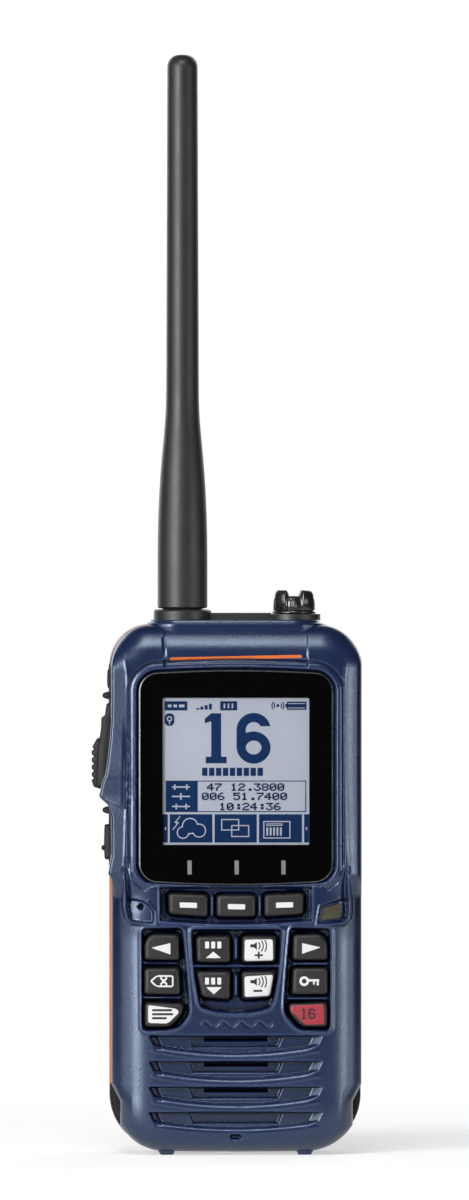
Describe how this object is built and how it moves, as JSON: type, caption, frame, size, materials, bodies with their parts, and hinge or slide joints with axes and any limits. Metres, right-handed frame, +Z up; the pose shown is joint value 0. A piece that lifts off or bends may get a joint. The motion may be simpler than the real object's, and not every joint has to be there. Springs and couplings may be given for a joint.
{
  "type": "vhf marine radio",
  "caption": "Handheld VHF marine radio with display, keypad, side talk button, screw-on antenna, tethered jack cap, covered distress key, removable battery and belt clip.",
  "frame": {"origin": "under the middle of the whole radio's bounding box, on the surface it stands on", "axes": "+Z up, front with window and keys towards -Y, +X to the right seen from the front"},
  "size_m": [0.0708, 0.0458, 0.2886],
  "materials": {
    "navy_case": "fine moulded texture",
    "orange_case": "fine moulded texture",
    "black_plastic": "satin moulded",
    "black_rubber": "matte",
    "key_grey": "matte",
    "key_white": "satin",
    "key_red": "satin",
    "cover_red": "satin",
    "window": "gloss",
    "clear_lens": "gloss",
    "display": "satin",
    "film": "matte",
    "board": "satin",
    "ceramic": "satin",
    "shield_metal": "satin",
    "contact_metal": "satin",
    "steel": "satin"
  },
  "bodies": {
    "radio": {"rear_case": "orange_case", "front_case": "navy_case", "case_gasket": "black_rubber", "case_screws": "steel", "window_pane": "window", "window_adhesive": "film", "display": "display", "keypad_mat": "key_grey", "strobe_lens": "clear_lens", "strobe_light": "ceramic", "microphone": "shield_metal", "microphone_boot": "black_rubber", "speaker_frame": "shield_metal", "speaker_cone": "film", "speaker_gasket": "black_rubber", "speaker_membrane": "film", "main_board": "board", "radio_shield": "shield_metal", "position_antenna": "ceramic", "antenna_socket": "contact_metal", "jack_socket": "contact_metal", "cap_tether": "black_rubber", "side_panel": "black_rubber", "side_switches": "board", "distress_pin": "steel", "distress_switch": "board", "power_contacts": "contact_metal"},
    "soft_key_left": {"soft_key_left": "key_grey"},
    "soft_key_middle": {"soft_key_middle": "key_grey"},
    "soft_key_right": {"soft_key_right": "key_grey"},
    "left_arrow_key": {"left_arrow_key": "key_grey"},
    "right_arrow_key": {"right_arrow_key": "key_grey"},
    "clear_key": {"clear_key": "key_grey"},
    "lock_key": {"lock_key": "key_grey"},
    "menu_key": {"menu_key": "key_white"},
    "red_key": {"red_key": "key_red"},
    "channel_up_key": {"channel_up_key": "key_grey"},
    "channel_down_key": {"channel_down_key": "key_grey"},
    "volume_up_key": {"volume_up_key": "key_white"},
    "volume_down_key": {"volume_down_key": "key_white"},
    "talk_button": {"talk_button": "black_rubber"},
    "upper_side_key": {"upper_side_key": "black_rubber"},
    "lower_side_key": {"lower_side_key": "black_rubber"},
    "distress_cover": {"distress_cover": "cover_red"},
    "distress_key": {"distress_key": "key_red"},
    "antenna_oring": {"antenna_oring": "black_rubber"},
    "antenna": {"antenna": "black_rubber"},
    "jack_cap_seal": {"jack_cap_seal": "black_rubber"},
    "jack_cap": {"jack_cap": "black_rubber"},
    "battery_latch": {"battery_latch": "black_plastic"},
    "belt_clip": {"belt_clip": "black_plastic"},
    "battery": {"battery_case": "black_plastic", "battery_cover": "black_plastic", "battery_cells": "shield_metal", "battery_contacts": "contact_metal", "latch_spring": "steel", "clip_bracket": "black_plastic", "bracket_screws": "steel", "clip_pin": "steel", "clip_spring": "steel"}
  },
  "joints": [
    {"name": "soft_left_press", "type": "slide", "parent": "radio", "child": "soft_key_left", "axis": [0, 1, 0], "range_m": [0, 0.0008], "stiffness_N_per_m": 2000, "springref_m": -0.0003},
    {"name": "soft_middle_press", "type": "slide", "parent": "radio", "child": "soft_key_middle", "axis": [0, 1, 0], "range_m": [0, 0.0008], "stiffness_N_per_m": 2000, "springref_m": -0.0003},
    {"name": "soft_right_press", "type": "slide", "parent": "radio", "child": "soft_key_right", "axis": [0, 1, 0], "range_m": [0, 0.0008], "stiffness_N_per_m": 2000, "springref_m": -0.0003},
    {"name": "left_arrow_press", "type": "slide", "parent": "radio", "child": "left_arrow_key", "axis": [0, 1, 0], "range_m": [0, 0.0008], "stiffness_N_per_m": 2000, "springref_m": -0.0003},
    {"name": "right_arrow_press", "type": "slide", "parent": "radio", "child": "right_arrow_key", "axis": [0, 1, 0], "range_m": [0, 0.0008], "stiffness_N_per_m": 2000, "springref_m": -0.0003},
    {"name": "clear_press", "type": "slide", "parent": "radio", "child": "clear_key", "axis": [0, 1, 0], "range_m": [0, 0.0008], "stiffness_N_per_m": 2000, "springref_m": -0.0003},
    {"name": "lock_press", "type": "slide", "parent": "radio", "child": "lock_key", "axis": [0, 1, 0], "range_m": [0, 0.0008], "stiffness_N_per_m": 2000, "springref_m": -0.0003},
    {"name": "menu_press", "type": "slide", "parent": "radio", "child": "menu_key", "axis": [0, 1, 0], "range_m": [0, 0.0008], "stiffness_N_per_m": 2000, "springref_m": -0.0003},
    {"name": "red_press", "type": "slide", "parent": "radio", "child": "red_key", "axis": [0, 1, 0], "range_m": [0, 0.0008], "stiffness_N_per_m": 2000, "springref_m": -0.0003},
    {"name": "channel_up_press", "type": "slide", "parent": "radio", "child": "channel_up_key", "axis": [0, 1, 0], "range_m": [0, 0.0008], "stiffness_N_per_m": 2000, "springref_m": -0.0003},
    {"name": "channel_down_press", "type": "slide", "parent": "radio", "child": "channel_down_key", "axis": [0, 1, 0], "range_m": [0, 0.0008], "stiffness_N_per_m": 2000, "springref_m": -0.0003},
    {"name": "volume_up_press", "type": "slide", "parent": "radio", "child": "volume_up_key", "axis": [0, 1, 0], "range_m": [0, 0.0008], "stiffness_N_per_m": 2000, "springref_m": -0.0003},
    {"name": "volume_down_press", "type": "slide", "parent": "radio", "child": "volume_down_key", "axis": [0, 1, 0], "range_m": [0, 0.0008], "stiffness_N_per_m": 2000, "springref_m": -0.0003},
    {"name": "talk_press", "type": "slide", "parent": "radio", "child": "talk_button", "axis": [1, 0, 0], "range_m": [0, 0.0012], "stiffness_N_per_m": 3000, "springref_m": -0.0005},
    {"name": "upper_side_press", "type": "slide", "parent": "radio", "child": "upper_side_key", "axis": [1, 0, 0], "range_m": [0, 0.0008], "stiffness_N_per_m": 2500, "springref_m": -0.0003},
    {"name": "lower_side_press", "type": "slide", "parent": "radio", "child": "lower_side_key", "axis": [1, 0, 0], "range_m": [0, 0.0008], "stiffness_N_per_m": 2500, "springref_m": -0.0003},
    {"name": "distress_press", "type": "slide", "parent": "radio", "child": "distress_key", "axis": [0, -1, 0], "range_m": [0, 0.001], "stiffness_N_per_m": 3000, "springref_m": -0.0003},
    {"name": "distress_cover_swing", "type": "hinge", "parent": "radio", "child": "distress_cover", "pos_m": [0.0024, 0.01385, 0.131], "axis": [1, 0, 0], "range_deg": [0, 95]},
    {"name": "antenna_rise", "type": "slide", "parent": "radio", "child": "antenna_oring", "axis": [0, 0, 1], "range_m": [0, 0.006]},
    {"name": "antenna_turn", "type": "hinge", "parent": "antenna_oring", "child": "antenna", "pos_m": [-0.0115, -0.01085, 0.145], "axis": [0, 0, 1], "range_deg": [0, 2160]},
    {"name": "jack_cap_rise", "type": "slide", "parent": "radio", "child": "jack_cap_seal", "axis": [0, 0, 1], "range_m": [0, 0.003]},
    {"name": "jack_cap_turn", "type": "hinge", "parent": "jack_cap_seal", "child": "jack_cap", "pos_m": [0.0178, -0.01085, 0.145], "axis": [0, 0, 1], "range_deg": [0, 720]},
    {"name": "battery_off", "type": "slide", "parent": "radio", "child": "battery", "axis": [0, 1, 0], "range_m": [0, 0.03]},
    {"name": "latch_slide", "type": "slide", "parent": "battery", "child": "battery_latch", "axis": [0, 0, 1], "range_m": [0, 0.003], "stiffness_N_per_m": 500, "springref_m": -0.002, "deforming": ["latch_spring"]},
    {"name": "belt_clip_swing", "type": "hinge", "parent": "battery", "child": "belt_clip", "pos_m": [0.0024, 0.02035, 0.092], "axis": [1, 0, 0], "range_deg": [0, 16], "stiffness_Nm_per_rad": 0.5, "springref_deg": -17.19, "deforming": ["clip_spring"]}
  ],
  "couplings": [
    {"joint": "antenna_turn", "follows": "antenna_rise", "rad_per_m": 6283.2},
    {"joint": "jack_cap_turn", "follows": "jack_cap_rise", "rad_per_m": 4188.8}
  ]
}
